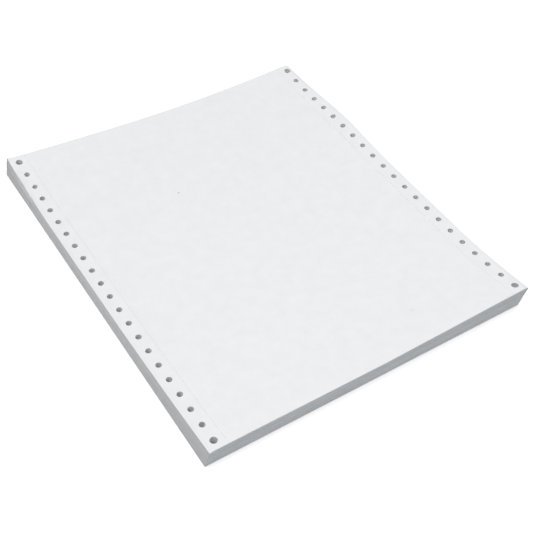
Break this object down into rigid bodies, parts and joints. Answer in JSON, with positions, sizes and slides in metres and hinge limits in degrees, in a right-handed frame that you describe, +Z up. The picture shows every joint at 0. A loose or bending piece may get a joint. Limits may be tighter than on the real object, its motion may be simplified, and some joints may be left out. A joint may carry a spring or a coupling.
{
  "type": "continuous carbonless form stack",
  "caption": "Fanfold stack of blank white continuous carbonless forms with sprocket holes down both sides and a dished top.",
  "frame": {"origin": "centre of the stack's footprint, on the surface it lies on", "axes": "+X across the web from one sprocket strip to the other, +Y along the web from the near folds to the far folds, +Z up through the stack"},
  "size_m": [0.2428, 0.2814, 0.0194],
  "materials": {
    "paper": "matt uncoated white paper"
  },
  "bodies": {
    "root": {"form_stack": "paper"}
  },
  "joints": []
}
